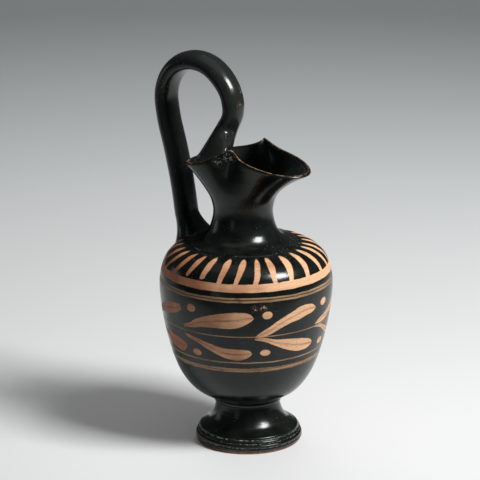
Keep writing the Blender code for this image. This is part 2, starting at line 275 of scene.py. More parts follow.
# %% The rim all round
def rim_curves():
    pinch = (PINCH_ANGLE, PINCH_REACH, THROAT_Z + PINCH_RISE)
    rows = []
    for angle, reach, rise in SPOUT_RIM:
        rows.append((angle, PINCH_REACH + (SPOUT_REACH - PINCH_REACH) * reach,
                     THROAT_Z + PINCH_RISE + (SPOUT_RISE - PINCH_RISE) * rise))
    rows.append(pinch)
    for angle, reach, rise in BACK_RIM:
        rows.append((angle, PINCH_REACH + (BACK_REACH - PINCH_REACH) * reach,
                     THROAT_Z + PINCH_RISE + (BACK_RISE - PINCH_RISE) * rise))
    ahead = [(-a, reach, z) for a, reach, z in rows[1:2]]
    behind = [(360 - a, reach, z) for a, reach, z in rows[-2:-1]]
    rows = [(math.radians(a), reach, z) for a, reach, z in ahead + rows + behind]
    scale = np.array([RIM_PACE, 1.0, 1.0])
    line = smooth_curve(np.array(rows) * scale, 24) / scale
    angles = np.linspace(line[0, 0], line[-1, 0], 721)
    degree = (angles[1] - angles[0]) * 180 / math.pi
    bell = np.exp(-(np.arange(-90, 91) * degree / FOLD_ROUND) ** 2 / 2)
    rounded = []
    for column in (line[:, 1], line[:, 2]):
        even = np.pad(np.interp(angles, line[:, 0], column), 90, mode="edge")
        rounded.append(np.convolve(even, bell / bell.sum(), mode="valid"))
    return angles, rounded[0], rounded[1]


RIM_ANGLES, RIM_REACHES, RIM_HEIGHTS = rim_curves()
BODY_LINE = body_line()
NECK_LINE = neck_line()
INNER_NECK = inner_line(NECK_LINE)[::-1]
print("rim reaches", round(RIM_REACHES.min() / MM, 1), "to", round(RIM_REACHES.max() / MM, 1), "mm")


def rim_at(angle):
    turn = abs(math.remainder(angle, math.tau))
    reach = float(np.interp(turn, RIM_ANGLES, RIM_REACHES))
    return reach, float(np.interp(turn, RIM_ANGLES, RIM_HEIGHTS)) + RIM_TILT * reach * math.sin(angle)


# %% Bending a point of the round form
def axis_shift(height):
    """Foot and neck were set on a little off the body's axis."""
    foot = FOOT_SHIFT * (1 - ease((height - 0.3 * FOOT_H) / (BODY_Z + 0.1 * BODY_H)))
    neck = NECK_SHIFT * ease((height - SHOULDER_Z + 0.06 * BODY_H) / (0.5 * NECK_H))
    return foot + neck


def station_height(radius, height):
    """Height of the outer face straight across the wall, so that both faces bend alike."""
    line = NECK_LINE
    run = np.diff(line, axis=0)
    along = ((np.array([radius, height]) - line[:-1]) * run).sum(axis=1) / (run ** 2).sum(axis=1)
    foot = line[:-1] + run * np.clip(along, 0.0, 1.0)[:, None]
    nearest = np.argmin(np.hypot(foot[:, 0] - radius, foot[:, 1] - height))
    return foot[nearest, 1]


def bend_share(radius, height):
    if height <= THROAT_Z:
        return 0.0
    flare_start, flare_end = THROAT_Z + 0.2 * MOUTH_H, RIM_Z - LIP_WALL / 2
    return min(max((station_height(radius, height) - flare_start) / (flare_end - flare_start), 0.0), 1.0)


def vessel_point(point, share=None):
    """Moves a point of the round form to its place on the jug with the lobed mouth."""
    radius, angle = math.hypot(point.x, point.y), math.atan2(point.y, point.x)
    height = point.z
    if share is None:
        share = bend_share(radius, height)
    if share > 0:
        reach, rim_height = rim_at(angle)
        radius += (reach - MOUTH_R) * share ** 2
        height += (rim_height - RIM_Z) * share ** 2
    return Vector((radius * math.cos(angle) + axis_shift(point.z), radius * math.sin(angle), height))


# %% [markdown]
# ## Turning the vessel
#
# `bmesh.ops.spin` does what the wheel does: it carries the section round the axis. Each row of the
# section is remembered, because the finish later needs to know which points lie on the lip and
# which lie inside.

# %% Turn and bend the vessel
def make_vessel():
    mesh = bmesh.new()
    verts = [mesh.verts.new((radius, 0.0, height)) for radius, height in profile]
    edges = [mesh.edges.new(pair) for pair in zip(verts, verts[1:])]
    bmesh.ops.spin(mesh, geom=verts + edges, cent=(0, 0, 0), axis=(0, 0, 1), angle=math.tau,
                   steps=SEGMENTS, use_merge=True)
    bmesh.ops.remove_doubles(mesh, verts=mesh.verts[:], dist=0.00001)
    tree = kdtree.KDTree(len(profile))
    for i, (radius, height) in enumerate(profile):
        tree.insert((radius, 0.0, height), i)
    tree.balance()
    shares = [bend_share(radius, height) for radius, height in profile]
    rows = []
    for vert in mesh.verts:
        row = tree.find((math.hypot(vert.co.x, vert.co.y), 0.0, vert.co.z))[1]
        rows.append(row)
        vert.co = vessel_point(vert.co, shares[row])
    bmesh.ops.recalc_face_normals(mesh, faces=mesh.faces[:])
    return mesh, rows


vessel, vessel_rows = make_vessel()
print("vessel:", len(vessel.verts), "points,", len(vessel.faces), "faces")


# %% [markdown]
# ## The handle
#
# A handle is pulled from a roll of wet clay, bent over, and pressed on at both ends. Its middle
# line climbs from the mouth, turns over in a loop above the rim, and falls straight to the
# shoulder. At the mouth it spreads like a web: its near side runs out along the rim as far as the
# near pinch, and its far side stays narrow. At the shoulder it spreads into a flat pad.

# %% Middle line and section
def shoulder_height(radius):
    top = BODY_LINE[np.argmax(BODY_LINE[:, 0]):]
    return np.interp(radius, top[::-1, 0], top[::-1, 1])


def handle_path():
    centre_x, centre_z = -LOOP_BACK, THROAT_Z + LOOP_RISE
    stations = [(centre_x + 0.8 * LOOP_R, centre_z - 0.46 * LOOP_R, 0.98)]
    for turn, swell in LOOP_SWELL:
        angle = math.radians(turn)
        radius = LOOP_R * (1.03 if turn < 20 else 1.0)
        stations.append((centre_x + radius * math.cos(angle), centre_z + radius * math.sin(angle), swell))
    start_x, start_z, _ = stations[-1]
    end_x, end_z = -ROOT_REACH - ROOT_LEAN, float(shoulder_height(ROOT_REACH)) + ROOT_RISE
    for share, bow in ((0.2, -0.02), (0.46, 0.0), (0.74, 0.01)):
        run = end_z - start_z
        stations.append((start_x + (end_x - start_x) * share - bow * run, start_z + run * share, 0.98))
    stations.append((end_x, end_z, 0.98))
    return smooth_curve([(x, z, HANDLE_THICK * s, HANDLE_WIDE * s) for x, z, s in stations], 8)


def section_point(turn, thick, wide):
    """Well rounded outside, flatter toward the loop's inside."""
    out, side = math.cos(turn), math.sin(turn)
    if out > 0:
        return -0.08 * thick + 0.58 * thick * out, 0.5 * wide * side
    flat = abs(out) ** 0.7
    return -0.08 * thick - 0.42 * thick * flat, 0.5 * wide * math.copysign(abs(side) ** 0.85, side)


def strand_ring(path, i):
    x, z, thick, wide = path[i]
    along = path[min(i + 1, len(path) - 1), :2] - path[max(i - 1, 0), :2]
    tangent = Vector((along[0], 0, along[1])).normalized()
    outward = Vector((tangent.z, 0, -tangent.x))
    ring = []
    for k in range(HANDLE_SIDES):
        out, side = section_point(math.tau * k / HANDLE_SIDES, thick, wide)
        ring.append(Vector((x, 0, z)) + outward * out + Vector((0, side, 0)))
    return ring


# %% Spread ends
def root_ring(depth, share):
    """Foot of the back strand on the shoulder; smaller shares make its hidden cap."""
    ring = []
    for k in range(HANDLE_SIDES):
        out, side = section_point(math.tau * k / HANDLE_SIDES, ROOT_LENGTH * share, ROOT_WIDE * share)
        x, y = -ROOT_REACH - out, side
        ring.append(Vector((x, y, float(shoulder_height(math.hypot(x, y))) - depth)))
    return ring


def arm_ring(sink, share):
    """Arms along the back lobe's rim, with the front run down inside the lobe."""
    middle = RIM_Z - LIP_WALL / 2 - 0.45 * WEB_DROP
    ring = []
    for k in range(HANDLE_SIDES):
        turn = math.tau * k / HANDLE_SIDES - ARM_TURN
        side = math.sin(turn)
        angle = math.pi - (FAR_ARM if side > 0 else NEAR_ARM) * side * share
        front = math.cos(turn)
        height = RIM_Z - LIP_WALL / 2 - WEB_DROP * max(front, 0.0)
        height = middle + (height - middle) * share
        radius = float(np.interp(height, INNER_NECK[:, 1], INNER_NECK[:, 0])) + sink
        radius += (LIP_WALL - 2 * sink) * max(-front, 0.0)
        ring.append(vessel_point(Vector((radius * math.cos(angle), radius * math.sin(angle), height))))
    return ring


def web(near, far, down, steps):
    """Rings from the strand's end to the back lobe, smooth at both ends; the far side widens late."""
    rings = []
    for i in range(1, steps + 1):
        t = i / steps
        leave, land = t ** 3 - 2 * t ** 2 + t, t ** 3 - t ** 2
        ring = []
        for k, (a, b) in enumerate(zip(near, far)):
            turn = math.tau * k / HANDLE_SIDES - ARM_TURN
            front, side = math.cos(turn), math.sin(turn)
            calm = min(WEB_CALM * max(side, front, 0.0), 1.0)
            out = Vector((b.x - NECK_SHIFT, b.y, 0)).normalized()
            swing = BACK_FLARE * max(-front, 0.0) ** 0.5 + NEAR_FLARE * max(-side, 0.0)
            flare = (out * swing + Vector((0, 0, -1))).normalized()
            arrive = flare.lerp(Vector((-0.6, 0, -1)), calm)
            point = a.lerp(b, ease(t)) + down * (WEB_LEAVE * leave) + arrive * (WEB_LAND * land)
            point.y += (a.y + (b.y - a.y) * t ** 3 - point.y) * calm
            ring.append(point)
        rings.append(ring)
    return rings


def spread(near, far, centres, steps):
    """Rings from a strand's end to its foot: the middle keeps its lean, the width comes late."""
    (near_x, far_x), rings = centres, []
    for i in range(1, steps + 1):
        fall = i / steps
        lean, wide = 1 - (1 - fall) ** 1.35, fall ** 2
        ring = []
        for a, b in zip(near, far):
            x = near_x + (far_x - near_x) * lean + (a.x - near_x) * (1 - wide) + (b.x - far_x) * wide
            ring.append(Vector((x, a.y + (b.y - a.y) * wide, a.z + (b.z - a.z) * fall)))
        rings.append(ring)
    return rings


# %% Sweep the handle
ALL_AXES = {"use_axis_x": True, "use_axis_y": True, "use_axis_z": True}


def make_handle():
    path = handle_path()
    strand = [strand_ring(path, i) for i in range(len(path))]
    path, strand = path[WEB_START:], strand[WEB_START:]
    down = Vector((path[0][0] - path[1][0], 0, path[0][1] - path[1][1])).normalized()
    root_x = path[-1][0], -ROOT_REACH
    mouth_end = web(strand[0], arm_ring(ARM_SINK * LIP_WALL, 1.0), down, WEB_RINGS)
    root_end = spread(strand[-1], root_ring(ROOT_SINK * BODY_WALL, 1.0), root_x, ROOT_RINGS)
    mouth_cap = [arm_ring(CAP_SINK * LIP_WALL, share) for share in CAP_SHARES]
    root_cap = [root_ring(CAP_SINK * BODY_WALL, share) for share in CAP_SHARES]
    rings = mouth_cap[::-1] + mouth_end[::-1] + strand + root_end + root_cap
    mesh = bmesh.new()
    verts = bmesh.ops.create_circle(mesh, segments=HANDLE_SIDES, radius=HANDLE_THICK)["verts"]
    edges = mesh.edges[:]
    bmesh.ops.contextual_create(mesh, geom=edges)
    for i, ring in enumerate(rings):
        if i > 0:
            grown = bmesh.ops.extrude_edge_only(mesh, edges=edges)["geom"]
            verts = [item for item in grown if isinstance(item, bmesh.types.BMVert)]
            edges = [item for item in grown if isinstance(item, bmesh.types.BMEdge) and item.is_boundary]
        for vert, place in zip(verts, ring):
            vert.co = place
    bmesh.ops.contextual_create(mesh, geom=edges)
    mesh.verts.ensure_lookup_table()
    first = HANDLE_SIDES * (len(mouth_cap) + 3)
    pinched = mesh.verts[first:first + HANDLE_SIDES * (WEB_RINGS + 4)]
    for _ in range(WEB_PASSES):
        bmesh.ops.smooth_vert(mesh, verts=pinched, factor=0.5, **ALL_AXES)
    bmesh.ops.recalc_face_normals(mesh, faces=mesh.faces[:])
    return mesh


handle = make_handle()
print("handle:", len(handle.verts), "points,", len(handle.faces), "faces")


# %% [markdown]
# ## Joining
#
# Both meshes move so that the body's axis stands where the frame has it. An exact union makes one
# skin of them. The potter smears the joint with a wet finger, so the points close to the joint are
# smoothed afterwards.

# %% Join vessel and handle
AXIS_X = high.x - max(radius for radius, _ in profile)
for mesh in (vessel, handle):
    bmesh.ops.translate(mesh, verts=mesh.verts[:], vec=(AXIS_X, 0, 0))


def known_points(mesh):
    tree = kdtree.KDTree(len(mesh.verts))
    for i, vert in enumerate(mesh.verts):
        tree.insert(vert.co, i)
    tree.balance()
    return tree


def to_object(name, mesh):
    data = bpy.data.meshes.new(name)
    mesh.to_mesh(data)
    item = bpy.data.objects.new(name, data)
    bpy.context.scene.collection.objects.link(item)
    return item


vessel_tree, handle_tree = known_points(vessel), known_points(handle)
jug = to_object("jug_fine", vessel)
stock = to_object("handle_stock", handle)
vessel.free()
handle.free()
union = jug.modifiers.new("join handle", "BOOLEAN")
union.operation = "UNION"
union.solver = "EXACT"
union.use_self = True
union.object = stock
joined = bpy.data.meshes.new_from_object(jug.evaluated_get(bpy.context.evaluated_depsgraph_get()))
jug.modifiers.clear()
jug.data = joined
bpy.data.objects.remove(stock)
print("joined:", len(joined.vertices), "points")

# %% Smear the joint
SMEAR = 1.5 * MM

skin = bmesh.new()
skin.from_mesh(joined)
bmesh.ops.remove_doubles(skin, verts=skin.verts[:], dist=0.000002)
joint = [v.co.copy() for v in skin.verts
         if vessel_tree.find(v.co)[2] > 0.000004 and handle_tree.find(v.co)[2] > 0.000004]
joint_tree = kdtree.KDTree(len(joint))
for i, place in enumerate(joint):
    joint_tree.insert(place, i)
joint_tree.balance()
near = [v for v in skin.verts if joint_tree.find(v.co)[2] < SMEAR]
facts = {}
for vert in skin.verts:
    _, row_index, vessel_gap = vessel_tree.find(vert.co)
    handle_gap = handle_tree.find(vert.co)[2]
    side = 0.0 if vert.co in joint else (1.0 if handle_gap < vessel_gap else -1.0)
    facts[vert] = vessel_rows[row_index], vessel_gap, side, joint_tree.find(vert.co)[2]
for _ in range(JOINT_PASSES):
    bmesh.ops.smooth_vert(skin, verts=near, factor=0.5, **ALL_AXES)
for vert in skin.verts:
    for axis in range(3):
        vert.co[axis] = min(max(vert.co[axis], low[axis]), high[axis])
bmesh.ops.recalc_face_normals(skin, faces=skin.faces[:])
print(len(joint), "joint points,", len(near), "points smeared")

# %% [markdown]
# ## Facts the finish needs
#
# Four numbers are stored on every point: how much it belongs to the handle, how near it is to the
# joint, how near it is to the lip's crest, and how deep it lies inside the mouth.

# %% Store the facts on the points
run = np.concatenate([[0.0], np.cumsum(np.linalg.norm(np.diff(profile, axis=0), axis=1))])
past_lip = (run - run[lip_row]) / MM
names = ("handle", "joint", "lip", "inner")
skin.verts.index_update()
values = {name: np.zeros(len(skin.verts), np.float32) for name in names}
for vert in skin.verts:
    row, vessel_gap, side, joint_gap = facts[vert]
    i, gap = vert.index, joint_gap / MM
    values["handle"][i] = min(max(0.5 + side * gap / 1.2, 0.0), 1.0)
    values["joint"][i] = math.exp(-(gap / 1.3) ** 2)
    values["lip"][i] = math.exp(-(past_lip[row] / 1.1) ** 2) * math.exp(-(vessel_gap / MM) ** 2)
    if side <= 0:
        values["inner"][i] = max(past_lip[row] - 0.8, 0.0)
skin.to_mesh(joined)
skin.free()
for name in names:
    joined.attributes.new(name, "FLOAT", "POINT").data.foreach_set("value", values[name])
joined.shade_smooth()
joined.set_sharp_from_angle(angle=math.radians(38))
joined.calc_loop_triangles()
print(len(joined.loop_triangles), "triangles")

# %% [markdown]
# ## Writing a material as sums
#
# The ornament is drawn with sums of the point's height and of its angle round the axis, as a
# potter's brush follows the turning wheel. These short helpers write one node each.

# %% Node helpers
gloss = bpy.data.materials.new("black gloss over orange clay")
gloss.use_nodes = True
tree = gloss.node_tree
shader = tree.nodes["Principled BSDF"]


def feed(socket, value):
    if isinstance(value, bpy.types.NodeSocket):
        tree.links.new(value, socket)
    else:
        socket.default_value = value


def calc(how, *terms):
    node = tree.nodes.new("ShaderNodeMath")
    node.operation = how
    for socket, term in zip(node.inputs, terms):
        feed(socket, term)
    return node.outputs[0]


def plus(a, b):
    return calc("ADD", a, b)


def minus(a, b):
    return calc("SUBTRACT", a, b)


def times(a, b):
    return calc("MULTIPLY", a, b)


def least(first, *others):
    for other in others:
        first = calc("MINIMUM", first, other)
    return first


def most(first, *others):
    for other in others:
        first = calc("MAXIMUM", first, other)
    return first


def fit(value, a, b, c=0.0, d=1.0, smooth=False):
    """Maps a..b to c..d and holds it there."""
    node = tree.nodes.new("ShaderNodeMapRange")
    node.interpolation_type = "SMOOTHSTEP" if smooth else "LINEAR"
    for socket, term in zip(node.inputs, (value, a, b, c, d)):
        feed(socket, term)
    return node.outputs[0]


def edge(distance, soft=0.16):
    """1 where the distance in mm is positive, with a soft edge."""
    return fit(distance, -soft, soft, smooth=True)


def blend(share, a, b):
    node = tree.nodes.new("ShaderNodeMix")
    node.data_type = "RGBA"
    feed(node.inputs["Factor"], share)
    feed(node.inputs["A"], a)
    feed(node.inputs["B"], b)
    return node.outputs["Result"]


def place(x, y, z):
    node = tree.nodes.new("ShaderNodeCombineXYZ")
    for socket, term in zip(node.inputs, (x, y, z)):
        feed(socket, term)
    return node.outputs[0]


def noise(where, scale, detail=2.0, rough=0.5):
    node = tree.nodes.new("ShaderNodeTexNoise")
    feed(node.inputs["Vector"], where)
    node.inputs["Scale"].default_value = scale
    node.inputs["Detail"].default_value = detail
    node.inputs["Roughness"].default_value = rough
    return node.outputs[0]


def grains(where, scale):
    """Distance to the nearest of many scattered points."""
    node = tree.nodes.new("ShaderNodeTexVoronoi")
    feed(node.inputs["Vector"], where)
    node.inputs["Scale"].default_value = scale
    return node.outputs["Distance"]


def fact(name):
    node = tree.nodes.new("ShaderNodeAttribute")
    node.attribute_name = name
    return node.outputs["Fac"]


def drawn(value, points, bottom, top):
    """A line drawn through the given (share, height) points; returns the height."""
    node = tree.nodes.new("ShaderNodeFloatCurve")
    line = node.mapping.curves[0]
    shares = [(x, (y - bottom) / (top - bottom)) for x, y in points]
    line.points[0].location = shares[0]
    line.points[1].location = shares[-1]
    for share in shares[1:-1]:
        line.points.new(*share)
    node.mapping.update()
    feed(node.inputs["Value"], value)
    return plus(times(node.outputs[0], top - bottom), bottom)


# %% [markdown]
# ## Where a point is
#
# Heights are in millimetres. The angle runs in degrees from the side that faces the camera,
# positive to the right. The painted lines dip a very little to one side, because the wheel's head
# was not quite level, so the painted height `h` is the height less a hundredth of the way across.

# %% Height, angle and radius
coords = tree.nodes.new("ShaderNodeTexCoord").outputs["Object"]
scaled = tree.nodes.new("ShaderNodeVectorMath")
scaled.operation = "SCALE"
feed(scaled.inputs[0], coords)
scaled.inputs["Scale"].default_value = 1000.0
spot = scaled.outputs[0]
parts = tree.nodes.new("ShaderNodeSeparateXYZ")
feed(parts.inputs[0], spot)
x, y, z = minus(parts.outputs[0], AXIS_X / MM), parts.outputs[1], parts.outputs[2]

VIEW_TURN = math.radians(39)
FACING = 51.0
FIRST = -98.4
across = plus(times(x, math.cos(VIEW_TURN)), times(y, math.sin(VIEW_TURN)))
radius = calc("SQRT", plus(times(x, x), times(y, y)))
turn = plus(times(calc("ARCTAN2", y, x), 180 / math.pi), FACING)
turn = plus(turn, times(calc("LESS_THAN", turn, FIRST), 360.0))
waver = minus(noise(spot, 0.22, 2.0), 0.5)
fine_waver = minus(noise(spot, 1.3, 2.0), 0.5)
h = plus(minus(z, times(across, 0.007)), plus(times(waver, 0.5), times(fine_waver, 0.22)))
round_mm = times(times(turn, math.pi / 180), radius)
angle = plus(turn, plus(times(minus(noise(spot, 0.25, 1.0), 0.5), 1.2), times(fine_waver, 0.5)))
streak = noise(place(times(round_mm, 0.06), times(z, 1.6), 0.0), 1.0, 3.0, 0.6)


# %% [markdown]
# ## Bands
#
# Between the wreath and the shoulder run a broad orange band and a pair of thin brushed lines.
# Below the wreath run one thin line and one heavier, lumpy line.

# %% Bands and lines
def band(top, bottom, soft=0.14):
    return edge(least(minus(top, h), minus(h, bottom)), soft)


broad = band(80.9, 77.64)
lumps = times(minus(noise(place(times(round_mm, 0.35), 0.0, 7.0), 1.0, 2.0), 0.5), 0.9)
double = most(band(75.36, 74.52), band(74.2, 73.31))
thin = band(45.62, 44.98)
lumpy = edge(least(minus(plus(42.5, lumps), h), minus(h, minus(40.65, lumps))))


# %% [markdown]
# ## Tongues on the shoulder
#
# Twenty-eight tongues hang from the neck's seam to the broad band. Each is one stroke of the
# brush: round at its top, thinner below, and leaning a little. The centres stand where the strokes
# do, so the spacing is as uneven as a hand makes it.

# %% Tongues
seen = [-69.3, -55.4, -43.4, -31.05, -17.15, -4.9, 8.35, 19.65, 33.8, 48.7, 63.5]
hidden = [63.5 + 12.62 * i + 0.9 * math.sin(2.3 * i) for i in range(1, 18)]
centres = [a - 360 for a in hidden[-3:]] + seen + hidden
lean = drawn(fit(turn, -98.4, 261.6),
             [(0.0, 12.0), (0.065, 11.0), (0.119, 7.6), (0.153, 5.2), (0.187, 4.3), (0.226, 3.7), (0.26, 5.6),
              (0.297, 3.3), (0.328, -0.5), (0.367, 3.0), (0.409, 2.8), (0.45, -1.2), (0.6, 2.0), (0.8, 4.0),
              (1.0, 11.5)], -2.0, 14.0)
tongue_share = fit(h, 80.9, 88.7, -0.5, 0.5)
tongue_turn = minus(angle, times(lean, tongue_share))
count = 0.0
for a, b in zip(centres, centres[1:]):
    count = plus(count, fit(tongue_turn, a, b))
aside = times(calc("ABSOLUTE", minus(count, calc("ROUND", count))), 12.86 * math.pi / 180)
aside = times(aside, radius)
half = plus(1.0, times(fit(h, 81.0, 87.0, smooth=True), 0.42))
short = times(band(100.0, 60.0), edge(least(plus(turn, 49.5), minus(-30.0, turn)), 0.3))
bottom = plus(78.0, times(short, 4.6))
beyond = plus(most(minus(h, 87.25), 0.0), most(minus(bottom, h), 0.0))
tongues = edge(minus(half, calc("SQRT", plus(times(aside, aside), times(beyond, beyond)))))
tongues = least(tongues, edge(minus(h, 79.0)))

# %% [markdown]
# ## Leaf wreath
#
# A thin stem runs round the widest part of the body. Seven pairs of long leaves grow from it, an upper and a
# lower leaf each, and a small drop stands past each leaf's tip. `step` counts the pairs and `along` runs from
# 0 to 1 within one pair. Each leaf is the space between two lines drawn through listed points.

# %% Which pair of leaves
starts = [-98.4, -46.5, 5.6, 54.0, 105.9, 157.8, 209.7, 261.6]
step = 0.0
for a, b in zip(starts, starts[1:]):
    step = plus(step, fit(angle, a, b))
along = calc("FRACT", step)
pair = calc("FLOOR", step)


def is_pair(*numbers):
    hits = [calc("COMPARE", pair, float(number), 0.1) for number in numbers]
    return most(*hits) if len(hits) > 1 else hits[0]


# %% Upper and lower leaves
BOTTOM, TOP = 44.0, 72.0
SHAPES = {
    (1, 4): (
        [(0.0, 60.6), (0.1, 61.8), (0.22, 64.3), (0.41, 66.8), (0.62, 68.5), (0.78, 69.0), (0.9, 68.7),
         (0.965, 67.4), (0.99, 66.2), (1.0, 65.0)],
        [(0.0, 59.2), (0.15, 59.9), (0.31, 61.0), (0.49, 61.4), (0.64, 61.4), (0.77, 62.0), (0.88, 63.5),
         (0.95, 65.0), (0.985, 66.2), (1.0, 67.0)],
        [(0.0, 56.3), (0.09, 55.8), (0.23, 55.0), (0.38, 53.8), (0.55, 52.4), (0.72, 51.9), (0.86, 51.7),
         (0.94, 51.1), (0.975, 49.6), (1.0, 48.0)],
        [(0.0, 55.6), (0.06, 54.6), (0.18, 53.5), (0.35, 50.9), (0.49, 48.8), (0.63, 47.2), (0.75, 46.5),
         (0.84, 46.9), (0.92, 48.1), (0.97, 49.7), (1.0, 51.0)]),
    (2, 5): (
        [(0.0, 57.6), (0.08, 59.5), (0.21, 62.1), (0.35, 64.8), (0.52, 67.4), (0.68, 69.2), (0.82, 69.3),
         (0.93, 67.9), (0.975, 66.4), (1.0, 65.0)],
        [(0.0, 57.6), (0.15, 57.7), (0.22, 58.6), (0.32, 60.2), (0.47, 62.2), (0.63, 63.3), (0.78, 64.5),
         (0.9, 65.3), (0.96, 66.2), (1.0, 67.5)],
        [(0.0, 57.0), (0.15, 57.0), (0.29, 56.0), (0.45, 55.4), (0.62, 54.7), (0.76, 53.9), (0.9, 52.7),
         (0.97, 51.4), (1.0, 49.9)],
        [(0.0, 56.6), (0.05, 56.1), (0.15, 55.3), (0.28, 53.3), (0.45, 50.8), (0.63, 48.9), (0.78, 48.2),
         (0.9, 48.5), (0.965, 49.5), (1.0, 51.0)]),
    (0, 3, 6): (
        [(0.0, 58.9), (0.07, 60.3), (0.193, 61.6), (0.33, 63.0), (0.45, 65.0), (0.65, 67.4), (0.85, 68.8),
         (0.945, 68.9), (0.98, 67.6), (1.0, 66.4)],
        [(0.0, 58.6), (0.116, 58.4), (0.264, 58.9), (0.44, 61.2), (0.61, 62.2), (0.8, 63.8), (0.93, 65.6),
         (0.98, 66.8), (1.0, 67.5)],
        [(0.0, 57.4), (0.15, 57.4), (0.3, 55.2), (0.43, 53.6), (0.67, 53.5), (0.86, 52.7), (0.96, 51.6),
         (1.0, 50.2)],
        [(0.0, 57.2), (0.13, 56.1), (0.335, 52.4), (0.5, 49.8), (0.62, 48.1), (0.77, 46.8), (0.87, 46.7),
         (0.95, 48.0), (1.0, 50.0)]),
}
leaves = 0.0
rib = 0.0
for pairs, (upper_top, upper_bottom, lower_top, lower_bottom) in SHAPES.items():
    here = is_pair(*pairs)
    for top_line, bottom_line in ((upper_top, upper_bottom), (lower_top, lower_bottom)):
        above = drawn(along, top_line, BOTTOM, TOP)
        below = drawn(along, bottom_line, BOTTOM, TOP)
        leaf = times(here, edge(least(minus(above, h), minus(h, below)), 0.2))
        leaves = most(leaves, leaf)
        middle = times(plus(above, below), 0.5)
        rib = most(rib, times(leaf, fit(calc("ABSOLUTE", minus(h, middle)), 0.0, 0.8, 1.0, 0.0, smooth=True)))


# %% Drops and stem
def pick(normal, special):
    value = normal
    for number, own in special.items():
        value = plus(value, times(is_pair(number), own - normal))
    return value


def drop(share, height, half_wide, half_tall):
    sideways = times(minus(along, share), 34.0)
    left = calc("DIVIDE", sideways, half_wide)
    up = calc("DIVIDE", minus(h, height), half_tall)
    return edge(minus(1.0, calc("SQRT", plus(times(left, left), times(up, up)))), 0.12)


upper_share = pick(0.155, {1: 0.146, 2: 0.174, 3: 0.145})
upper_height = pick(68.0, {1: 68.8, 2: 67.5, 3: 67.8})
upper_drop = drop(upper_share, upper_height, 2.3, 1.7)
lower_share = pick(0.17, {1: 0.173, 2: 0.163, 3: 0.22})
lower_height = pick(49.2, {1: 48.4, 2: 50.0, 3: 49.2})
lower_drop = drop(lower_share, lower_height, 2.5, 1.5)
stem = edge(minus(0.24, calc("ABSOLUTE", minus(minus(h, times(waver, 0.3)), 57.75))), 0.12)
wreath = most(leaves, upper_drop, lower_drop)
print(len(starts) - 1, "pairs of leaves in", len(SHAPES), "shapes,", len(tree.nodes), "nodes so far")

# %% [markdown]
# ## Wear and dirt
#
# Two thousand years in the ground leave their marks: the gloss is rubbed off the rim and the edge
# of the foot, small pits show the clay, thin scratches run round, and chalky earth sits in the
# folds and along the joints.

# %% Masks for wear
lip, inner, joint_near, on_handle = fact("lip"), fact("inner"), fact("joint"), fact("handle")
outer_wall = times(fit(inner, 0.0, 0.5, 1.0, 0.0), fit(on_handle, 0.35, 0.6, 1.0, 0.0))
rubbed = noise(spot, 0.5, 5.0, 0.65)
crumbs = noise(spot, 1.1, 4.0, 0.75)


def around(places, reach):
    """1 at any of the places (in mm, from the jug's origin), fading to 0 at the reach."""
    total = 0.0
    for point in places:
        gap = tree.nodes.new("ShaderNodeVectorMath")
        gap.operation = "DISTANCE"
        feed(gap.inputs[0], spot)
        gap.inputs[1].default_value = point
        total = most(total, fit(gap.outputs["Value"], 0.2 * reach, reach, 1.0, 0.0, smooth=True))
    return total


near_side = fit(y, -9.0, 4.0, 1.0, 0.25)
rim_wear = times(edge(minus(plus(lip, times(minus(rubbed, 0.5), 1.7)), 0.9), 0.16), near_side)
foot_wear = edge(minus(plus(0.75, times(minus(rubbed, 0.5), 1.4)), z), 0.2)
rubs = around([(-30, 0, 157), (-24, -5, 163), (-35, -4, 152)], 6.0)
rubs = times(rubs, edge(minus(crumbs, 0.63), 0.03))
chips = around([(0.6, 2.8, 155), (2.7, -0.5, 150), (31.6, -27, 70.6), (34.5, -24, 71.2)], 2.2)
chips = times(chips, edge(minus(crumbs, 0.56), 0.03))
specks = times(edge(minus(0.13, grains(spot, 0.75)), 0.03), edge(minus(noise(spot, 0.15, 2.0), 0.56), 0.04))
nicks = edge(minus(noise(spot, 1.9, 3.0, 0.8), 0.745), 0.02)
scratches = edge(minus(noise(place(times(round_mm, 0.08), times(z, 3.0), 3.0), 1.0, 2.0, 0.8), 0.74), 0.015)
underside = most(edge(minus(0.2, z), 0.1), times(edge(minus(6.0, z)), edge(minus(17.0, radius), 0.3)))
bare_throat = times(edge(minus(inner, 24.0), 2.0), fit(on_handle, 0.4, 0.6, 1.0, 0.0))

# %% Chalky earth in folds, joints and grooves
FOLD = [(5.5, -12.6, 129.6), (2.5, -15.5, 127.6), (8.5, -12.5, 129.3), (-6.9, 11.4, 122.0),
        (-2.0, 8.0, 126.0)]
SEAM = [(24.0, 8.0, 90.0), (27.0, 2.0, 89.6), (27.5, -4.0, 89.6), (21.5, 12.0, 90.0)]
in_fold = times(around(FOLD, 3.0), edge(minus(crumbs, 0.56), 0.05))
in_seam = times(times(around(SEAM, 5.5), edge(minus(1.3, calc("ABSOLUTE", minus(z, 89.3))), 0.4)),
                edge(minus(crumbs, 0.64), 0.04))
all_round = times(edge(minus(0.45, calc("ABSOLUTE", minus(z, 89.2))), 0.3), edge(minus(crumbs, 0.67), 0.04))
ridges = times(calc("SINE", times(z, 3.9)), band(7.4, 0.9, 0.4))
grooves = most(edge(minus(-0.75, ridges), 0.1), band(20.6, 20.1, 0.2))
in_groove = times(grooves, edge(minus(crumbs, 0.54), 0.06))
in_joint = times(times(joint_near, edge(minus(crumbs, 0.62), 0.05)), 0.5)
chalk = most(in_fold, in_seam, all_round, in_groove, in_joint)
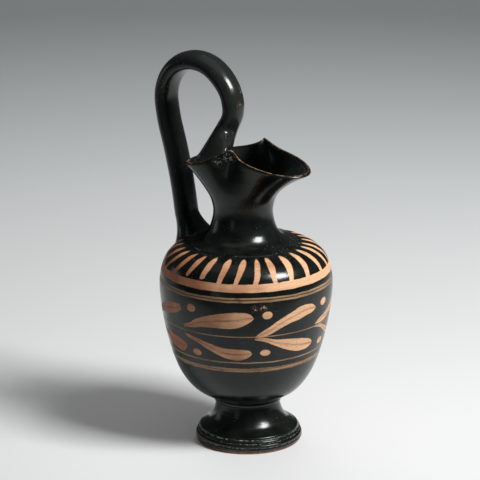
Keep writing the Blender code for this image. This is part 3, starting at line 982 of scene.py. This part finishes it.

# %% [markdown]
# ## Colours
#
# The clay's orange is never even. It is lighter where the slip was wiped thin and brown where a trace of
# black is left in the brush strokes. It also deepens toward the left, away from the key light, as painted
# shade, and the black of the handle and of the inside of the mouth is lifted to a grey-green as a painted
# sheen.

# %% Colours of clay and gloss
ORANGE = (0.70, 0.41, 0.23, 1.0)
DEEP = (0.38, 0.128, 0.055, 1.0)
BROWN = (0.12, 0.055, 0.03, 1.0)
BUFF = (0.45, 0.27, 0.15, 1.0)
OLIVE = (0.33, 0.215, 0.115, 1.0)
WORN = (0.30, 0.12, 0.055, 1.0)
EARTH = (0.17, 0.14, 0.11, 1.0)
BLACK = (0.0028, 0.0037, 0.0031, 1.0)
SHEEN = (0.0075, 0.0105, 0.0088, 1.0)
CHALK = (0.34, 0.33, 0.29, 1.0)
# A lighter grey-green black: a painted sheen for the handle and the inside of the mouth.
PAINTED_SHEEN = (0.018, 0.0225, 0.02, 1.0)

patchy = noise(spot, 0.09, 3.0, 0.55)
# ORANGE turns to DEEP in random patches and, through `across`, toward the left side: that part is painted
# shade away from the key light.
clay = blend(fit(plus(times(across, -0.011), plus(patchy, -0.1)), 0.25, 0.75), ORANGE, DEEP)
clay = blend(times(fit(streak, 0.42, 0.75), 0.35), clay, BROWN)
ornament = blend(times(rib, fit(streak, 0.3, 0.6, 0.15, 0.6)), clay, BROWN)
line_colour = blend(fit(streak, 0.4, 0.66), OLIVE, BROWN)
slip = blend(fit(noise(spot, 0.16, 3.0), 0.35, 0.7), BLACK, SHEEN)
# Painted sheen: the handle and the inside of the mouth get the lighter grey-green black.
slip = blend(times(most(fit(inner, 0.0, 0.5), fit(on_handle, 0.35, 0.6)), 0.55), slip, PAINTED_SHEEN)

# %% [markdown]
# ## Layers
#
# The layers go on in the order in which the potter and then time put them there: slip, thin lines,
# ornament, pits and scratches, worn edges, and chalk on top.

# %% Put the ornament on the slip
solid = times(most(broad, tongues, wreath), outer_wall)
lines = times(most(double, thin, lumpy, stem), outer_wall)
brush = noise(place(times(round_mm, 0.16), times(z, 0.4), 5.0), 1.0, 3.0)
lines = times(lines, fit(brush, 0.3, 0.42, 0.35, 1.0))
missing = times(edge(minus(noise(spot, 0.9, 4.0, 0.7), 0.66), 0.03), 0.8)
solid = times(solid, minus(1.0, missing))
colour = blend(lines, slip, line_colour)
colour = blend(solid, colour, ornament)
worn = most(times(rim_wear, 0.8), foot_wear, rubs, chips)
marks = most(times(specks, 0.6), times(nicks, 0.4), times(scratches, 0.25))
colour = blend(marks, colour, EARTH)
colour = blend(worn, colour, blend(fit(crumbs, 0.4, 0.6), WORN, BUFF))
colour = blend(most(underside, bare_throat), colour, DEEP)
colour = blend(times(chalk, 0.55), colour, CHALK)

# %% [markdown]
# ## Gloss and relief
#
# Fired slip shines and bare clay doesn't. The relief is slight: rings from the wheel, fine ridges on
# the foot's band, a little unevenness, and the pits.

# %% Roughness and relief
bare = most(solid, lines, worn, underside, bare_throat, chalk)
smudge = fit(noise(spot, 0.07, 4.0, 0.6), 0.3, 0.75, 0.0, 0.14)
roughness = plus(plus(0.13, smudge), times(fit(streak, 0.45, 0.8), 0.08))
roughness = most(roughness, times(bare, 0.55))
rings = times(noise(place(times(round_mm, 0.01), times(z, 0.55), 1.0), 1.0, 3.0, 0.55), 0.03)
uneven = times(noise(spot, 0.1, 2.0, 0.5), 0.16)
grain = times(noise(spot, 1.6, 3.0, 0.6), 0.004)
hole = times(most(specks, nicks, times(worn, 0.6)), -0.04)
relief = plus(plus(rings, uneven), plus(grain, hole))
relief = plus(plus(relief, times(chalk, 0.08)), times(ridges, 0.12))
bump = tree.nodes.new("ShaderNodeBump")
bump.inputs["Strength"].default_value = 1.0
bump.inputs["Distance"].default_value = MM
feed(bump.inputs["Height"], relief)

feed(shader.inputs["Base Color"], colour)
feed(shader.inputs["Roughness"], roughness)
feed(shader.inputs["Normal"], bump.outputs["Normal"])
shader.inputs["IOR"].default_value = 1.5
shader.inputs["Specular IOR Level"].default_value = 0.34
jug.data.materials.clear()
jug.data.materials.append(gloss)
print(len(tree.nodes), "nodes in the finish")

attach(jug, "root")
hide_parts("jug")

# %% [markdown]
# ## Floor
#
# The jug stands on a pale sheet of paper. Light and shade are painted into its colour: it is bright under the
# lights and falls off to grey behind, and darker still in front as painted shade, so the floor's own tone
# follows its depth. The node helpers write into `tree`, which from here on is the paper's.

# %% Pale floor
# Painted light on the paper: its brightness at each depth from the jug, falling off to grey; further back it
# also cools a little.
PAPER_PAINTED_LIGHT = [(0, 0.67), (72, 0.66), (131, 0.64), (194, 0.62), (263, 0.6), (339, 0.57), (423, 0.53),
         (515, 0.465), (620, 0.385), (738, 0.3), (834, 0.235), (900, 0.2)]

floor_mesh = bmesh.new()
bmesh.ops.create_grid(floor_mesh, x_segments=2, y_segments=2, size=6.0)
floor = to_object("paper_floor", floor_mesh)
floor_mesh.free()
paper = bpy.data.materials.new("pale paper")
paper.use_nodes = True
tree = paper.node_tree
coords = tree.nodes.new("ShaderNodeTexCoord").outputs["Object"]
parts = tree.nodes.new("ShaderNodeSeparateXYZ")
feed(parts.inputs[0], coords)
from_jug = minus(parts.outputs[0], AXIS_X), parts.outputs[1]
away = plus(times(from_jug[0], -math.sin(VIEW_TURN)), times(from_jug[1], math.cos(VIEW_TURN)))
reach = calc("SQRT", plus(times(from_jug[0], from_jug[0]), times(from_jug[1], from_jug[1])))
# Painted shade: the floor turns toward black in front of the jug, and its falloff runs faster in front than
# behind.
painted_front_shade = fit(times(away, -1000.0), 85.0, 180.0, 1.0, 0.3)
away = times(reach, fit(calc("DIVIDE", away, most(reach, 0.001)), -1.0, 0.2, 1.9, 1.0))
tone = tree.nodes.new("ShaderNodeValToRGB")
start, end = PAPER_PAINTED_LIGHT[0][0], PAPER_PAINTED_LIGHT[-1][0]
for i, (depth, bright) in enumerate(PAPER_PAINTED_LIGHT):
    share = (depth - start) / (end - start)
    stop = tone.color_ramp.elements[i] if i < 2 else tone.color_ramp.elements.new(share)
    if i < 2:
        stop.position = share
for stop, (depth, bright) in zip(sorted(tone.color_ramp.elements, key=lambda e: e.position), PAPER_PAINTED_LIGHT):
    stop.color = (bright * (1 - 0.07 * depth / end), bright, bright, 1.0)
feed(tone.inputs[0], fit(times(away, 1000.0), start, end))
feed(tree.nodes["Principled BSDF"].inputs["Base Color"], blend(painted_front_shade, (0, 0, 0, 1), tone.outputs[0]))
tree.nodes["Principled BSDF"].inputs["Roughness"].default_value = 0.9
floor.data.materials.append(paper)

# %% [markdown]
# ## Camera and lights
#
# The camera looks down a little, with a long lens. The key box stands high on the right, and its
# small square reflection is what makes the gloss read as gloss. The box behind only lightens the
# shadow, so it is hidden from reflections.

# %% Camera
DISTANCE = 1.2
aim = Vector((AXIS_X - 2.063 * MM, -1.671 * MM, 89.9 * MM))
toward = Vector((0.7235, -0.8935, 0.3438)).normalized()
camera_data = bpy.data.cameras.new("camera")
camera_data.lens = 208.4
camera_data.sensor_width = 36.0
camera_data.clip_start = 0.01
camera = bpy.data.objects.new("camera", camera_data)
camera.location = aim + toward * DISTANCE
camera.rotation_euler = (-toward).to_track_quat("-Z", "Y").to_euler()
bpy.context.scene.collection.objects.link(camera)
bpy.context.scene.camera = camera
print("camera at", [round(v, 3) for v in camera.location])


# %% Soft boxes
def soft_box(name, direction, distance, wide, tall, power, mirrored=True):
    """A rectangle of light that faces the jug's middle."""
    data = bpy.data.lights.new(name, "AREA")
    data.shape = "RECTANGLE"
    data.size, data.size_y = wide, tall
    data.energy = power
    lamp = bpy.data.objects.new(name, data)
    direction = Vector(direction).normalized()
    centre = Vector((AXIS_X, 0, 0.09))
    lamp.location = centre + direction * distance
    lamp.rotation_euler = (-direction).to_track_quat("-Z", "Y").to_euler()
    lamp.visible_glossy = mirrored
    bpy.context.scene.collection.objects.link(lamp)


soft_box("key", (0.70, 0.10, 0.70), 1.2, 0.42, 0.42, 23.0)
soft_box("ceiling", (0.0, 0.0, 1.0), 1.6, 1.6, 1.6, 3.0)
soft_box("back fill", (-0.62, 0.62, 0.5), 1.4, 1.2, 1.2, 7.0, mirrored=False)
soft_box("left box", (-0.95, -0.27, 0.07), 1.2, 0.35, 0.35, 0.3)
soft_box("front box", (0.0, -1.0, 0.07), 1.3, 0.25, 0.4, 0.15)
world = bpy.context.scene.world or bpy.data.worlds.new("room")
bpy.context.scene.world = world
world.use_nodes = True
world.node_tree.nodes["Background"].inputs[0].default_value = (0.5, 0.51, 0.52, 1.0)
world.node_tree.nodes["Background"].inputs[1].default_value = 0.1
bpy.context.scene.view_settings.view_transform = "Standard"
